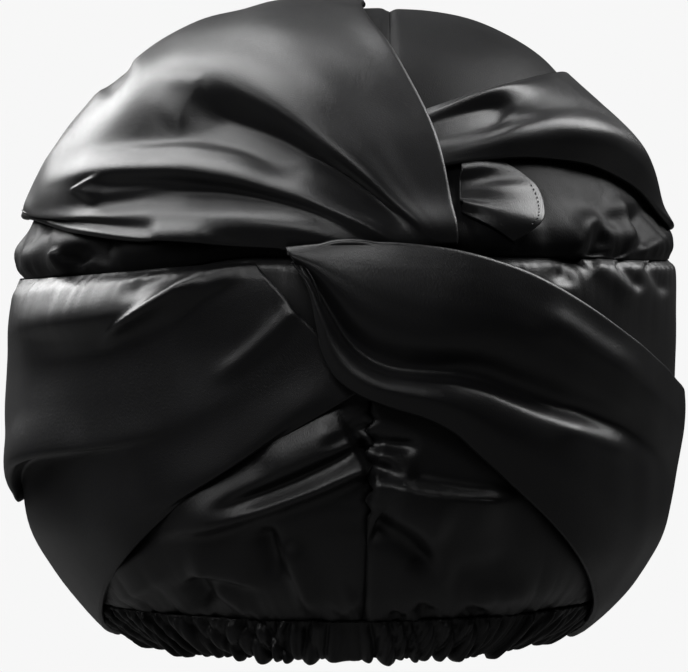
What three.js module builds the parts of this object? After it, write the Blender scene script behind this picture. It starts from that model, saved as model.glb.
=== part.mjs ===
// A satin turban-style hair cap. Two crown panels are gathered to three lower panels along a seam, an elastic
// casing closes the opening, and an upper and a lower wrap hook through each other at the front.
// Millimetres, +Z up, front towards -Y, +X to the wearer's left. The origin is in the middle of the opening.
import * as THREE from "three";

// ---------------------------------------------------------------- driving dimensions
const WALL = 1.5; // two layers of satin and their seam allowance
const GAP = 0.3; // between neighbouring pieces
const CASING_HEIGHT = 16.5; // the tunnel that holds the elastic
const CASING_DEPTH = 4.2; // from its inner to its outer face
const SCALLOPS = 42; // gathers of the casing round the opening
const SCALLOP_OUT = 1.8; // how far a gather stands out
const SCALLOP_DROP = 1.4; // how far it hangs
const CROWN_SEAM_TURN = 7; // where the crown's middle seam starts at the front, degrees
const FRONT_SEAM_TURN = 4; // where the ruched front seam runs, degrees
const SIDE_SEAM_TURN = 99; // where the front panels meet the back panel, degrees
const RAY_CENTRE = new THREE.Vector3(0, 0, 119.5); // clock angles are measured round this point
const REAR_REACH = 10; // how far past the silhouette the wraps are sewn down, degrees
const BODY_RADIUS = 130; // about, to turn a swing in mm into an angle
const HOOK_REACH = 0.34; // share of its way to the outline over which a fold hooks round at the knot
const LEAST_LIFT = 2.4; // a wrap's outer face is at least this far above the cloth under it
const SEWN_LIFT = 2.6; // and this far where it is sewn down at the back
const CROWN_PUFF = 4; // how far the crown bulges just above the seam
const SEAM_SINK = 1.8; // how far the cloth sinks into the seam
const FRONT_STEP = 6; // between the panels' points at the front, degrees
const REAR_STEP = 12; // and at the back, which is plain

// Level sections of the cap's body from the opening up: half width, half depth, and the section's centre.
const BODY = [
  { level: "opening", z: 0, halfWidth: 81, halfDepth: 97, right: 0, back: 0 },
  { level: "hem roll", z: 6.5, halfWidth: 91.5, halfDepth: 100.5, right: 0, back: 0 },
  { level: "casing top", z: 17, halfWidth: 102.5, halfDepth: 106, right: 0, back: 0 },
  { level: "lower bulge", z: 29, halfWidth: 112, halfDepth: 118.5, right: 0, back: 0 },
  { level: "cheek", z: 46, halfWidth: 121.5, halfDepth: 130, right: 0, back: 1 },
  { level: "ear", z: 70, halfWidth: 125, halfDepth: 135.5, right: 0.5, back: 2 },
  { level: "widest", z: 95, halfWidth: 128, halfDepth: 138.5, right: 1, back: 3 },
  { level: "under seam", z: 120, halfWidth: 128, halfDepth: 138.5, right: 2, back: 4 },
  { level: "seam", z: 145, halfWidth: 128.5, halfDepth: 138, right: 1.5, back: 5 },
  { level: "crown foot", z: 168, halfWidth: 120, halfDepth: 133, right: 0, back: 6 },
  { level: "crown", z: 191, halfWidth: 107.5, halfDepth: 122, right: 0, back: 7 },
  { level: "shoulder", z: 212, halfWidth: 90, halfDepth: 104.5, right: 1, back: 8 },
  { level: "upper dome", z: 229, halfWidth: 71.5, halfDepth: 83.5, right: 4.5, back: 9 },
  { level: "dome", z: 240.5, halfWidth: 47.5, halfDepth: 57, right: 8, back: 10 },
  { level: "near top", z: 245.5, halfWidth: 24, halfDepth: 29, right: 9, back: 10 },
  { level: "top", z: 246.5, halfWidth: 0, halfDepth: 0, right: 9, back: 10 },
];

// Height of the seam between crown and lower panels, by turn: 0 is the front, 90 the right side.
const SEAM = [
  { turn: -180, z: 144 },
  { turn: -90, z: 140.5 },
  { turn: -40, z: 146.5 },
  { turn: -14, z: 154.5 },
  { turn: 20, z: 154.5 },
  { turn: 90, z: 149 },
  { turn: 180, z: 144 },
];

// Folds pressed into the lower panels: a ridge (lift above 0) or a crease (below 0). `turn` is in degrees from the
// front, to the right, and `up` is the share of the way from the casing to the seam.
const FRONT_FOLDS = [
  { fold: "left ridge", from: { turn: 4, up: 0.46 }, to: { turn: -37, up: 0.25 }, width: 9, lift: 5, endLift: 2.5 },
  { fold: "left crease", from: { turn: 4, up: 0.5 }, to: { turn: -24, up: 0.3 }, width: 5, lift: -3.5, endLift: -2.5 },
  { fold: "left drop", from: { turn: -14.5, up: 0.28 }, to: { turn: -12.5, up: 0.11 }, width: 5, lift: -4.5, endLift: -4 },
  { fold: "right ridge", from: { turn: 4.5, up: 0.4 }, to: { turn: 32, up: 0.335 }, width: 9, lift: 5, endLift: 2.5 },
  { fold: "right drop", from: { turn: 5, up: 0.295 }, to: { turn: 16.5, up: 0.09 }, width: 5, lift: -4.5, endLift: -4 },
  { fold: "front seam", from: { turn: 4, up: 0.59 }, to: { turn: 4, up: 0.03 }, width: 3, lift: -2.2, endLift: -2.2 },
];

// The wraps. The folds of each leave the knot along its mouth, a line on the front from the first fold's start to
// the last one's, as [x, z]; where crowd is above 1 they stand closer at its first end. A fold then runs to the
// outline, which it passes at a clock angle, 0 to the right and 90 up. Bow swings its middle anticlockwise, in mm,
// wave swings its first half anticlockwise and its second half back, and hook swings it close to the knot only. The
// lifts above the body stand at even steps.
const UPPER_LEFT = {
  mouth: { from: [39, 157], to: [-2, 155.5], crowd: 1.6 },
  folds: [
    { fold: "free edge", clock: 87, bow: 10, wave: -4, hook: 0, lifts: [4.5, 7, 7.5, 6, 3.6] },
    { fold: "edge hollow", clock: 101, bow: 7, wave: -1, hook: 0, lifts: [4.5, 7.5, 9, 8, 4.4] },
    { fold: "shoulder", clock: 116, bow: 8, wave: 2, hook: 0, lifts: [4.5, 9.5, 13, 11, 5] },
    { fold: "upper brow", clock: 128, bow: 9, wave: 3, hook: 0, lifts: [5, 11.5, 16, 13, 5] },
    { fold: "upper riser", clock: 137, bow: 5, wave: -3, hook: -2, lifts: [4.5, 7, 9, 11.5, 5] },
    { fold: "upper foot", clock: 146, bow: 0, wave: -10, hook: -4, lifts: [4.2, 4.4, 3.4, 8.5, 5] },
    { fold: "middle brow", clock: 150.5, bow: 7, wave: -6, hook: 0, lifts: [5, 10.5, 13, 11, 5] },
    { fold: "middle foot", clock: 155.5, bow: 4, wave: -4, hook: 0, lifts: [4, 4.2, 4.6, 5.4, 4.8] },
    { fold: "low ridge", clock: 158, bow: 8, wave: -1, hook: 0, lifts: [4, 5.6, 7, 6.2, 4.8] },
    { fold: "lower edge", clock: 160, bow: 15, wave: 1, hook: 0, lifts: [3.8, 4.2, 5, 5.2, 4.6] },
  ],
};
const UPPER_RIGHT = {
  mouth: { from: [27, 205], to: [32, 186], crowd: 1 },
  folds: [
    { fold: "top edge", clock: 49, bow: -7, wave: 0, hook: 0, lifts: [3.4, 4.4, 5, 4.4, 3.2] },
    { fold: "top ridge", clock: 44, bow: -5, wave: 0, hook: 0, lifts: [3.8, 6.4, 7.4, 6.4, 4.2] },
    { fold: "pocket", clock: 36, bow: -2, wave: 0, hook: 0, lifts: [3, 3.4, 9, 9, 5] },
    { fold: "low ridge", clock: 25, bow: 2, wave: 0, hook: 0, lifts: [4.4, 7.6, 12, 10.5, 4.8] },
    { fold: "rolled edge", clock: 18.5, bow: 3, wave: 0, hook: 0, lifts: [4, 4.6, 5, 4.8, 3] },
  ],
};
const LOWER_LEFT = {
  mouth: { from: [-33, 152], to: [8, 107], crowd: 1.7 },
  folds: [
    { fold: "seam edge", clock: 170, bow: 7, wave: 0, hook: 0, lifts: [2.4, 2.4, 2.6, 2.8, 3] },
    { fold: "first ridge", clock: 180, bow: 10, wave: 3, hook: 0, lifts: [2.6, 6.4, 7.6, 6, 4.8] },
    { fold: "valley", clock: 192, bow: 9, wave: 6, hook: 0, lifts: [2.4, 2.6, 3, 5, 5] },
    { fold: "pleat edge", clock: 206.5, bow: 7, wave: 8, hook: 0, lifts: [2.4, 3.8, 6, 8.2, 4.8] },
    { fold: "pleat tuck", clock: 206, bow: 11, wave: 6, hook: 0, lifts: [2.4, 3.2, 4.4, 3.4, 3] },
    { fold: "second ridge", clock: 215, bow: 6, wave: 3, hook: 0, lifts: [2.4, 6.6, 8, 5.4, 3.4] },
    { fold: "hem", clock: 233, bow: -25, wave: 0, hook: 0, lifts: [2.6, 3.4, 4.4, 4, 3] },
  ],
};
const LOWER_RIGHT = {
  mouth: { from: [-20, 156], to: [-17, 150], crowd: 1 },
  folds: [
    { fold: "rim", clock: -11, bow: 4, wave: 6, hook: 0, lifts: [8, 10.5, 11, 8, 3.6] },
    { fold: "brow", clock: -18, bow: 5, wave: 2, hook: -2, lifts: [8, 11.5, 12, 9, 5.2] },
    { fold: "valley", clock: -31, bow: 10, wave: -8, hook: -11, lifts: [6, 4.6, 4.4, 6, 4.6] },
    { fold: "roll", clock: -43, bow: 12, wave: -8, hook: -14, lifts: [8, 10, 10, 7, 4.8] },
    { fold: "hem", clock: -53, bow: 15, wave: -5, hook: -15, lifts: [6.6, 7.6, 6, 5, 4] },
  ],
};
// The crown cloth that the knot draws in, beside the free edge of the upper left wrap. Each line runs from one place
// to another: `out` is the distance from TUCK_START, to the right, and `up` the height above the seam.
const TUCK_START = UPPER_LEFT.mouth.from[0] + 4.6;
const TUCK = [
  { fold: "lip", from: { out: 0, up: 30 }, to: { out: 14, up: 32 }, lifts: [2.4, 3.4, 2.4] },
  { fold: "lobe top", from: { out: 0, up: 26.5 }, to: { out: 26, up: 26 }, lifts: [2.4, 6, 3.6] },
  { fold: "lobe", from: { out: 0, up: 22.5 }, to: { out: 29, up: 16 }, lifts: [2.4, 6, 4.2] },
  { fold: "tongue", from: { out: 0, up: 18 }, to: { out: 21, up: 5.5 }, lifts: [2.6, 4, 2.8] },
];

// ---------------------------------------------------------------- curves
// A smooth curve through rows of numbers, with the ends carried straight on. `at` runs from 0 to 1.
function through(rows, at) {
  const last = rows.length - 1;
  const place = Math.min(Math.max(at, 0), 1) * last;
  const i = Math.min(Math.floor(place), last - 1);
  const t = place - i;
  const [b, c] = [rows[i], rows[i + 1]];
  const a = rows[i - 1] ?? b.map((value, k) => 2 * value - c[k]);
  const d = rows[i + 2] ?? c.map((value, k) => 2 * value - b[k]);
  return b.map((value, k) => {
    const slope = (c[k] - a[k]) / 2;
    const next = (d[k] - value) / 2;
    const rise = c[k] - value;
    return value + t * (slope + t * (3 * rise - 2 * slope - next + t * (slope + next - 2 * rise)));
  });
}

// The same curve with its points evenly spaced along its length.
function evenly(rows, count) {
  const FINE = 12;
  const fine = [];
  for (let i = 0; i <= FINE * (rows.length - 1); i++) {
    fine.push(through(rows, i / (FINE * (rows.length - 1))));
  }
  const along = [0];
  for (let i = 1; i < fine.length; i++) {
    along.push(along[i - 1] + Math.hypot(...fine[i].map((value, k) => value - fine[i - 1][k])));
  }
  const points = [];
  for (let i = 0, j = 0; i <= count; i++) {
    const goal = (along.at(-1) * i) / count;
    while (j < along.length - 2 && along[j + 1] < goal) j++;
    const t = (goal - along[j]) / (along[j + 1] - along[j]);
    points.push(fine[j].map((value, k) => value + t * (fine[j + 1][k] - value)));
  }
  return points;
}

const easeBetween = (from, to, value) => THREE.MathUtils.smoothstep(value, from, to);
const bell = (value, width) => Math.exp(-((value / width) ** 2));

// ---------------------------------------------------------------- the body surface
const SECTIONS = BODY.map((row) => [row.z, row.halfWidth, row.halfDepth, row.right, row.back]);

// `level` runs from 0 at the opening to 1 at the top; `turn` is in degrees from the front, to the right.
function bodyPoint(turn, level) {
  const [z, halfWidth, halfDepth, right, back] = through(SECTIONS, level);
  const angle = THREE.MathUtils.degToRad(turn);
  return new THREE.Vector3(right + halfWidth * Math.sin(angle), back - halfDepth * Math.cos(angle), z);
}

function levelOf(z) {
  let [low, high] = [0, 1];
  for (let i = 0; i < 40; i++) {
    const middle = (low + high) / 2;
    if (through(SECTIONS, middle)[0] < z) low = middle;
    else high = middle;
  }
  return (low + high) / 2;
}

// How far out a point lies: below 1 inside the body, above 1 outside it.
function reachOf(point) {
  const [, halfWidth, halfDepth, right, back] = through(SECTIONS, levelOf(point.z));
  const across = (point.x - right) / Math.max(halfWidth, 0.1);
  const along = (point.y - back) / Math.max(halfDepth, 0.1);
  return Math.hypot(across, along);
}

function outward(point) {
  const STEP = 0.5;
  const slope = (axis) => {
    const ahead = point.clone();
    const behind = point.clone();
    ahead[axis] += STEP;
    behind[axis] -= STEP;
    return reachOf(ahead) - reachOf(behind);
  };
  return new THREE.Vector3(slope("x"), slope("y"), slope("z")).normalize();
}

// The point of the body's front at this x and z.
function frontPoint(x, z) {
  const [, halfWidth, halfDepth, right, back] = through(SECTIONS, levelOf(z));
  const across = (x - right) / halfWidth;
  return new THREE.Vector3(x, back - halfDepth * Math.sqrt(Math.max(1 - across * across, 0)), z);
}

// The point of the body in a direction from RAY_CENTRE.
function bodyAlong(direction) {
  const ray = direction.clone().normalize();
  const top = BODY.at(-1).z;
  let [near, far] = [0, 200];
  for (let i = 0; i < 36; i++) {
    const middle = (near + far) / 2;
    const point = ray.clone().multiplyScalar(middle).add(RAY_CENTRE);
    if (point.z < top && point.z > 0 && reachOf(point) < 1) near = middle;
    else far = middle;
  }
  return ray.multiplyScalar(near).add(RAY_CENTRE);
}

// The point of the body at a clock angle, 0 to the right and 90 up. `reach` is 90 degrees at the silhouette,
// and more behind it.
function clockPoint(clock, reach) {
  const [around, away] = [THREE.MathUtils.degToRad(clock), THREE.MathUtils.degToRad(reach)];
  const side = Math.sin(away);
  return bodyAlong(new THREE.Vector3(Math.cos(around) * side, -Math.cos(away), Math.sin(around) * side));
}

const lifted = (point, lift) => point.clone().addScaledVector(outward(point), lift);

function seamHeight(turn) {
  const row = SEAM.findIndex((next) => next.turn >= turn);
  const [from, to] = [SEAM[Math.max(row, 1) - 1], SEAM[Math.max(row, 1)]];
  return from.z + (to.z - from.z) * easeBetween(from.turn, to.turn, turn);
}

// ---------------------------------------------------------------- closed solids from grids of points
// The solid between an outer grid of points and an inner one, with its four sides closed. A side whose points
// fall together, as at the top of the dome, closes on itself.
function solidBetween(outer, inner) {
  const [rows, columns] = [outer.length, outer[0].length];
  const corners = [];
  const same = (p, q) => p.distanceToSquared(q) < 1e-6;
  const triangle = (a, b, c) => {
    if (!same(a, b) && !same(b, c) && !same(c, a)) corners.push(a, b, c);
  };
  const quad = (a, b, c, d) => {
    triangle(a, b, c);
    triangle(a, c, d);
  };
  for (let i = 0; i + 1 < rows; i++) {
    for (let j = 0; j + 1 < columns; j++) {
      quad(outer[i][j], outer[i][j + 1], outer[i + 1][j + 1], outer[i + 1][j]);
      quad(inner[i][j], inner[i + 1][j], inner[i + 1][j + 1], inner[i][j + 1]);
    }
  }
  for (let j = 0; j + 1 < columns; j++) {
    quad(outer[0][j], inner[0][j], inner[0][j + 1], outer[0][j + 1]);
    quad(outer[rows - 1][j], outer[rows - 1][j + 1], inner[rows - 1][j + 1], inner[rows - 1][j]);
  }
  for (let i = 0; i + 1 < rows; i++) {
    const k = columns - 1;
    quad(outer[i][0], outer[i + 1][0], inner[i + 1][0], inner[i][0]);
    quad(outer[i][k], inner[i][k], inner[i + 1][k], outer[i + 1][k]);
  }
  return new THREE.BufferGeometry().setFromPoints(corners);
}

// ---------------------------------------------------------------- the body's panels
const between = (from, to, share) => from + (to - from) * share;

// The x and z of a place on a lower panel.
function onPanel({ turn, up }) {
  const point = bodyPoint(turn, levelOf(between(CASING_HEIGHT, seamHeight(turn), up)));
  return [point.x, point.z];
}

const PRESSED = FRONT_FOLDS.map((fold) => ({ ...fold, from: onPanel(fold.from), to: onPanel(fold.to) }));

function foldLift(point) {
  if (point.y > 0) return 0;
  let lift = 0;
  for (const { from, to, width, lift: start, endLift: end } of PRESSED) {
    const [dx, dz] = [to[0] - from[0], to[1] - from[1]];
    const length = Math.hypot(dx, dz);
    const share = ((point.x - from[0]) * dx + (point.z - from[1]) * dz) / length ** 2;
    const aside = ((point.x - from[0]) * dz - (point.z - from[1]) * dx) / length;
    const past = Math.max(-share, share - 1, 0) * length;
    const height = start + (end - start) * THREE.MathUtils.clamp(share, 0, 1);
    lift += height * bell(aside, width) * bell(past, width);
  }
  return lift;
}

// The crown puffs over the seam, and both sides sink into it.
function seamLift(turn, z) {
  const above = z - seamHeight(turn);
  return CROWN_PUFF * bell(above - 9, 7) - SEAM_SINK * bell(above, 2.5);
}

const turnOf = (point) => THREE.MathUtils.radToDeg(Math.atan2(point.x, -point.y));
const reliefAt = (point) => foldLift(point) + seamLift(turnOf(point), point.z);

function panelPoint(turn, z, lift) {
  const point = bodyPoint(turn, levelOf(z));
  return lifted(point, lift + reliefAt(point));
}

// The turns at which a panel has its points: its two seams, and between them the steps that all panels share.
function stations(fromTurn, toTurn, seamGap) {
  const turns = [fromTurn + seamGap];
  for (let turn = -180; turn < 360; turn += Math.abs(turn) < 108 ? FRONT_STEP : REAR_STEP) {
    if (turn > fromTurn + 1.5 && turn < toTurn - 1.5) turns.push(turn);
  }
  return [...turns, toTurn - seamGap];
}

// A panel of the lower body, from the casing to the seam.
function lowerPanel(fromTurn, toTurn, heights) {
  const turns = stations(fromTurn, toTurn, THREE.MathUtils.radToDeg(GAP / 2 / 125));
  const grid = (lift) =>
    heights.map((share) =>
      turns.map((turn) => {
        const around = turn > 180 ? turn - 360 : turn;
        return panelPoint(around, between(CASING_HEIGHT + GAP, seamHeight(around) - GAP / 2, share), lift);
      }),
    );
  return solidBetween(grid(0), grid(-WALL));
}

// A half of the crown, from the seam over to the top.
function crownPanel(fromTurn, toTurn) {
  const aboveSeam = [GAP / 2, 3, 8, 14, 22];
  const overDome = [0.25, 0.5, 0.72, 0.9, 1];
  const turns = stations(fromTurn, toTurn, 0);
  const grid = (lift) => {
    const footPoint = (turn, height) => panelPoint(turn, seamHeight(turn) + height, lift);
    const foot = aboveSeam.map((height) => turns.map((turn) => footPoint(turn, height)));
    const dome = overDome.map((share) =>
      turns.map((turn) => {
        const start = levelOf(seamHeight(turn) + aboveSeam.at(-1));
        const point = bodyPoint(turn, between(start, 1, share));
        return share === 1 ? point.add(new THREE.Vector3(0, 0, lift)) : lifted(point, lift);
      }),
    );
    return [...foot, ...dome];
  };
  // The two halves stand apart by the gap at the very top too.
  const apart = new THREE.Vector3(Math.sign(fromTurn + toTurn) * (GAP / 2), 0, 0);
  const move = (rows) => rows.map((row) => row.map((point) => point.clone().add(apart)));
  return solidBetween(move(grid(0)), move(grid(-WALL)));
}

// ---------------------------------------------------------------- the elastic casing
function casing() {
  const PER_SCALLOP = 3;
  const steps = SCALLOPS * PER_SCALLOP;
  const profile = [
    { out: 0, up: 0.5 },
    { out: 0.12, up: 0.1 },
    { out: 0.5, up: 0 },
    { out: 0.9, up: 0.14 },
    { out: 1, up: 0.5 },
    { out: 0.8, up: 0.97 },
    { out: 0.25, up: 0.97 },
  ];
  const ring = profile.map(({ out, up }) => {
    const row = [];
    for (let i = 0; i < steps; i++) {
      const turn = (360 * i) / steps;
      const wave = Math.cos((2 * Math.PI * i) / PER_SCALLOP) * easeBetween(1, 0.35, up);
      const point = bodyPoint(turn, levelOf(up * CASING_HEIGHT));
      const flat = new THREE.Vector3(point.x, point.y, 0).normalize();
      point.addScaledVector(flat, (out - 1) * CASING_DEPTH + (out > 0.4 ? SCALLOP_OUT * wave : 0));
      point.z += 0.4 - SCALLOP_DROP * wave * (up < 0.3 ? 1 : 0);
      row.push(point);
    }
    row.push(row[0]);
    return row;
  });
  ring.push(ring[0]);
  const corners = [];
  for (let i = 0; i + 1 < ring.length; i++) {
    for (let j = 0; j < steps; j++) {
      corners.push(ring[i][j], ring[i][j + 1], ring[i + 1][j + 1]);
      corners.push(ring[i][j], ring[i + 1][j + 1], ring[i + 1][j]);
    }
  }
  return new THREE.BufferGeometry().setFromPoints(corners);
}

// ---------------------------------------------------------------- the wraps
// A fold line as rows of x, y, z and lift: a great arc of directions from the knot to the outline, swung aside,
// and on to where the wrap is sewn down behind.
function foldLine([x, z], { clock, bow, wave, hook, lifts }) {
  const STEPS = 16;
  const start = frontPoint(x, z).sub(RAY_CENTRE).normalize();
  const rim = clockPoint(clock, 90).sub(RAY_CENTRE).normalize();
  const whole = start.angleTo(rim);
  const aside = start.clone().cross(rim).normalize();
  const heights = lifts.map((lift) => [lift]);
  const rows = [];
  for (let i = 0; i <= STEPS; i++) {
    const share = i / STEPS;
    const hooked = Math.sin(Math.PI * Math.min(share / HOOK_REACH, 1)) ** 2;
    const swing = bow * Math.sin(Math.PI * share) + wave * Math.sin(2 * Math.PI * share) + hook * hooked;
    const ray = start.clone().multiplyScalar(Math.sin((1 - share) * whole));
    ray.addScaledVector(rim, Math.sin(share * whole)).divideScalar(Math.sin(whole));
    ray.addScaledVector(aside, swing / BODY_RADIUS);
    rows.push([...bodyAlong(ray).toArray(), ...through(heights, share)]);
  }
  rows.push([...clockPoint(clock, 90 + REAR_REACH).toArray(), SEWN_LIFT]);
  return rows;
}

// The fold lines of a wrap, each leaving its place on the mouth of the knot.
function wrapLines({ mouth: { from, to, crowd }, folds }) {
  return folds.map((fold, k) => {
    const share = (k / (folds.length - 1)) ** crowd;
    return foldLine([between(from[0], to[0], share), between(from[1], to[1], share)], fold);
  });
}

// A line that stays on the front.
function shortLine({ from, to, lifts }) {
  return lifts.map((lift, k) => {
    const share = k / (lifts.length - 1);
    const x = TUCK_START + between(from.out, to.out, share);
    const turn = THREE.MathUtils.radToDeg(Math.asin(x / BODY_RADIUS));
    return [...frontPoint(x, seamHeight(turn) + between(from.up, to.up, share)).toArray(), lift];
  });
}

// A sheet lofted through its fold lines, `along` steps from the knot outwards and `across` steps between
// one line and the next.
function sheet(rawLines, along, across) {
  const lines = rawLines.map((line) => evenly(line, along));
  const side = Math.sign(lines.at(-1).at(-1)[0]); // -1 on a wrap that runs to the left, 1 to the right
  const rows = [];
  const total = across * (lines.length - 1);
  for (let j = 0; j <= total; j++) {
    const row = [];
    for (let i = 0; i <= along; i++) {
      const crossing = lines.map((line) => line[i]);
      const [x, y, z, lift] = through(crossing, j / total);
      const foot = bodyAlong(new THREE.Vector3(x, y, z).sub(RAY_CENTRE));
      const least = i < along || foot.y < 0 ? LEAST_LIFT : SEWN_LIFT;
      row.push(lifted(foot, Math.max(lift, least) + Math.max(reliefAt(foot), 0)));
    }
    rows.push(row);
  }
  const face = (i, j) => {
    const down = rows[Math.min(i + 1, total)][j].clone().sub(rows[Math.max(i - 1, 0)][j]);
    const out = rows[i][Math.min(j + 1, along)].clone().sub(rows[i][Math.max(j - 1, 0)]);
    return out.cross(down).normalize().multiplyScalar(WALL * side);
  };
  const inner = rows.map((row, i) => row.map((point, j) => point.clone().add(face(i, j))));
  return side < 0 ? solidBetween(rows, inner) : solidBetween(mirrored(rows), mirrored(inner));
}

const mirrored = (rows) => rows.map((row) => [...row].reverse());

// ---------------------------------------------------------------- the assembly
function satin(name, color, roughness) {
  return new THREE.MeshStandardMaterial({ name, color, roughness, metalness: 0 });
}

const crownSatin = satin("crown_satin", 0x1b1b1c, 0.42);
const wrapSatin = satin("wrap_satin", 0x202021, 0.36);
const panelSatin = satin("panel_satin", 0x171718, 0.42);
const casingSatin = satin("casing_satin", 0x141415, 0.5);

const cap = new THREE.Group();
cap.name = "satin_turban_cap";

function add(name, geometry, material) {
  const mesh = new THREE.Mesh(geometry, material);
  mesh.name = name;
  cap.add(mesh);
}

const PANEL_HEIGHTS = [0, 0.08, 0.16, 0.24, 0.32, 0.4, 0.48, 0.58, 0.7, 0.83, 0.93, 0.98, 1];
const BACK_HEIGHTS = [0, 0.12, 0.3, 0.5, 0.7, 0.86, 0.95, 1];

add("crown_left", crownPanel(-180, CROWN_SEAM_TURN), crownSatin);
add("crown_right", crownPanel(CROWN_SEAM_TURN, 180), crownSatin);
add("front_panel_left", lowerPanel(-SIDE_SEAM_TURN, FRONT_SEAM_TURN, PANEL_HEIGHTS), panelSatin);
add("front_panel_right", lowerPanel(FRONT_SEAM_TURN, SIDE_SEAM_TURN, PANEL_HEIGHTS), panelSatin);
add("back_panel", lowerPanel(SIDE_SEAM_TURN, 360 - SIDE_SEAM_TURN, BACK_HEIGHTS), panelSatin);
add("elastic_casing", casing(), casingSatin);
add("upper_wrap_left", sheet(wrapLines(UPPER_LEFT), 16, 2), wrapSatin);
add("upper_wrap_right", sheet(wrapLines(UPPER_RIGHT), 12, 3), wrapSatin);
add("lower_wrap_left", sheet(wrapLines(LOWER_LEFT), 16, 2), wrapSatin);
add("lower_wrap_right", sheet(wrapLines(LOWER_RIGHT), 18, 3), wrapSatin);
add("knot_tuck", sheet(TUCK.map(shortLine), 4, 2), wrapSatin);

export default cap;
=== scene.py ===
import math
from collections import namedtuple

import bpy
import numpy as np
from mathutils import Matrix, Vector


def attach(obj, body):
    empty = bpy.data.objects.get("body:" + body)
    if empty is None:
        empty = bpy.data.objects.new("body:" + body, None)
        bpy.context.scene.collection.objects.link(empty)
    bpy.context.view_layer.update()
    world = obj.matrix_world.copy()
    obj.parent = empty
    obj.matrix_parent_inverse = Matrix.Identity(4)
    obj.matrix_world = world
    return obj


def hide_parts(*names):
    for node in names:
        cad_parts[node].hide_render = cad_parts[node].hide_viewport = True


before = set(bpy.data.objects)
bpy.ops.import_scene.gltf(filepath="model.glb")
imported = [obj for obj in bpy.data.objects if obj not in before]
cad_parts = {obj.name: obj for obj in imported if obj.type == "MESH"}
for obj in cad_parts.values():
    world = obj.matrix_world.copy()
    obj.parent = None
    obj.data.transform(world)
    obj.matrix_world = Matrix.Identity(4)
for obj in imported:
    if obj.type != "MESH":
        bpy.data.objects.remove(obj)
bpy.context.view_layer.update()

MM = 0.001
MM_IN_CM = 10
SAME_PLACE = 0.00002  # points of a cloth that are nearer than this, in metres, are one

# ------------------------------------------------------------------ sizes in millimetres, turns in degrees
# +Z is up, the front faces -Y, and a turn is counted from the front to the right.
CLOTH = 0.7  # thickness of one layer of satin with its interlining
CASING_CLOTH = 0.5  # and of the casing's
CASING_HEIGHT = 16.5
CASING_DEPTH = 4.2  # from its inner to its outer face
CASING_RADIUS = 100  # about, for the length round the opening
PANEL_FOOT = CASING_HEIGHT - 1.7  # the lower panels end a little below the casing's top
CROWN_POLE = (17.5, 6.0)  # where the crown's gathers meet at the top
FRONT_SEAM_TURN = 4.0
SIDE_SEAM_TURN = 99.0
SEAM_ARC = 2.25  # length of one degree of turn, about: along the level seam,
PANEL_ARC = 2.2  # round the lower panels,
FRONT_ARC = 2.3  # and beside the front seam
SEAM_GAP = 0.15  # from the level seam to the edge of the cloth above or below it
SEAM_SINK = 2.2  # how far the cloth sinks in at the level seam
UPRIGHT_SEAM_SINK = 1.3  # at a seam that runs up the cap
FOOT_SINK = 1.9  # and at the feet of the lower panels
ALLOWANCE_DEPTHS = (4.5, 2.6, 1.2, 0.5)  # how deep the rows of a turned-in seam allowance lie
CROWN_PUFF = 2.6  # how far the crown puffs out over the level seam
RUCHED_FROM, RUCHED_TO = 56.0, 100.0  # heights between which the front seam is drawn up
RUCHED_STEP = 8.5  # from one swing of its zigzag to the next
RUCHED_SWING = 0.7  # and how far it swings, in degrees
CASING_PUFF = 6.4  # how far a gather of the casing stands out
CASING_DROP = 3.6  # how far it hangs
CASING_LEAN = 9.0  # how far the gathers of the casing lean at the left
FLAT_STRETCH_TURN = 1.5  # the middle of the casing's ungathered stretch
FLAT_STRETCH_REACH = 4.5  # and about how far it goes to each side
LEAST_LIFT = 2.4  # the least that a wrap stands off the body
LEAST_TUCK_LIFT = 0.4  # the least for the knot tuck
INTO_SEAM = 3.6  # and how much less it is beside a seam that a wrap is sewn into
ROLL_CLEARANCE = 1.2  # what stays free under the rolled edge of a wrap
LEAST_ROLL = 0.4  # the least radius of that roll
EDGE_ROWS = 5  # how many steps of its grid a cloth goes on under a folded edge
CASING_STITCH_ROW = 5  # the row of the casing's grid that is sewn, near the top of its outer face
CASING_STITCH_RISE = 0.1  # how far the middle of the thread stands off it
TUCK_STITCH_ROWS = slice(55, 88)  # the stretch of the knot tuck's grid that is sewn, near its outer end
TUCK_STITCH_COLUMN = -5
TUCK_STITCH_RISE = 0.2
SEWN_LIFT = 2.2  # how far a wrap stands off where it is sewn down
REAR_REACH = 10.0  # how far it goes on behind the outline, in degrees
REAR_END = ((1.0, 0.4), (1.9, 1.6), (2.4, 3.4))  # (onwards, inwards) from there, where its end turns in
RAY_CENTRE = np.array([0.0, 0.0, 119.5])  # about the middle of the body, which fold lines are aimed from
BEYOND = 200.0  # further from it than any point of the body
HOOK_REACH = 0.34  # share of its way to the outline over which a fold hooks round at the knot
BODY_RADIUS = 130.0  # about, for turning millimetres into an angle

# Level sections of the body from the opening up, and how far each one's middle lies to the right and back.
Level = namedtuple("Level", "height half_width half_depth right back")
BODY = [
    Level(0, 81, 97, 0, 0),
    Level(6.5, 91.5, 100.5, 0, 0),
    Level(17, 102.5, 106, 0, 0),
    Level(29, 112, 118.5, 0, 0),
    Level(46, 121.5, 130, 0, 1),
    Level(70, 125, 135.5, 0.5, 2),
    Level(95, 128, 138.5, 1, 3),
    Level(120, 128, 138.5, 2, 4),
    Level(145, 128.5, 138, 1.5, 5),
    Level(168, 120, 133, 0, 6),
    Level(191, 107.5, 122, 0, 7),
    Level(212, 90, 104.5, 1, 8),
    Level(229, 71.5, 83.5, 4.5, 9),
    Level(240.5, 47.5, 57, 8, 10),
    Level(245.5, 24, 29, 9, 10),
    Level(246.5, 0, 0, 9, 10),
]

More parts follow.
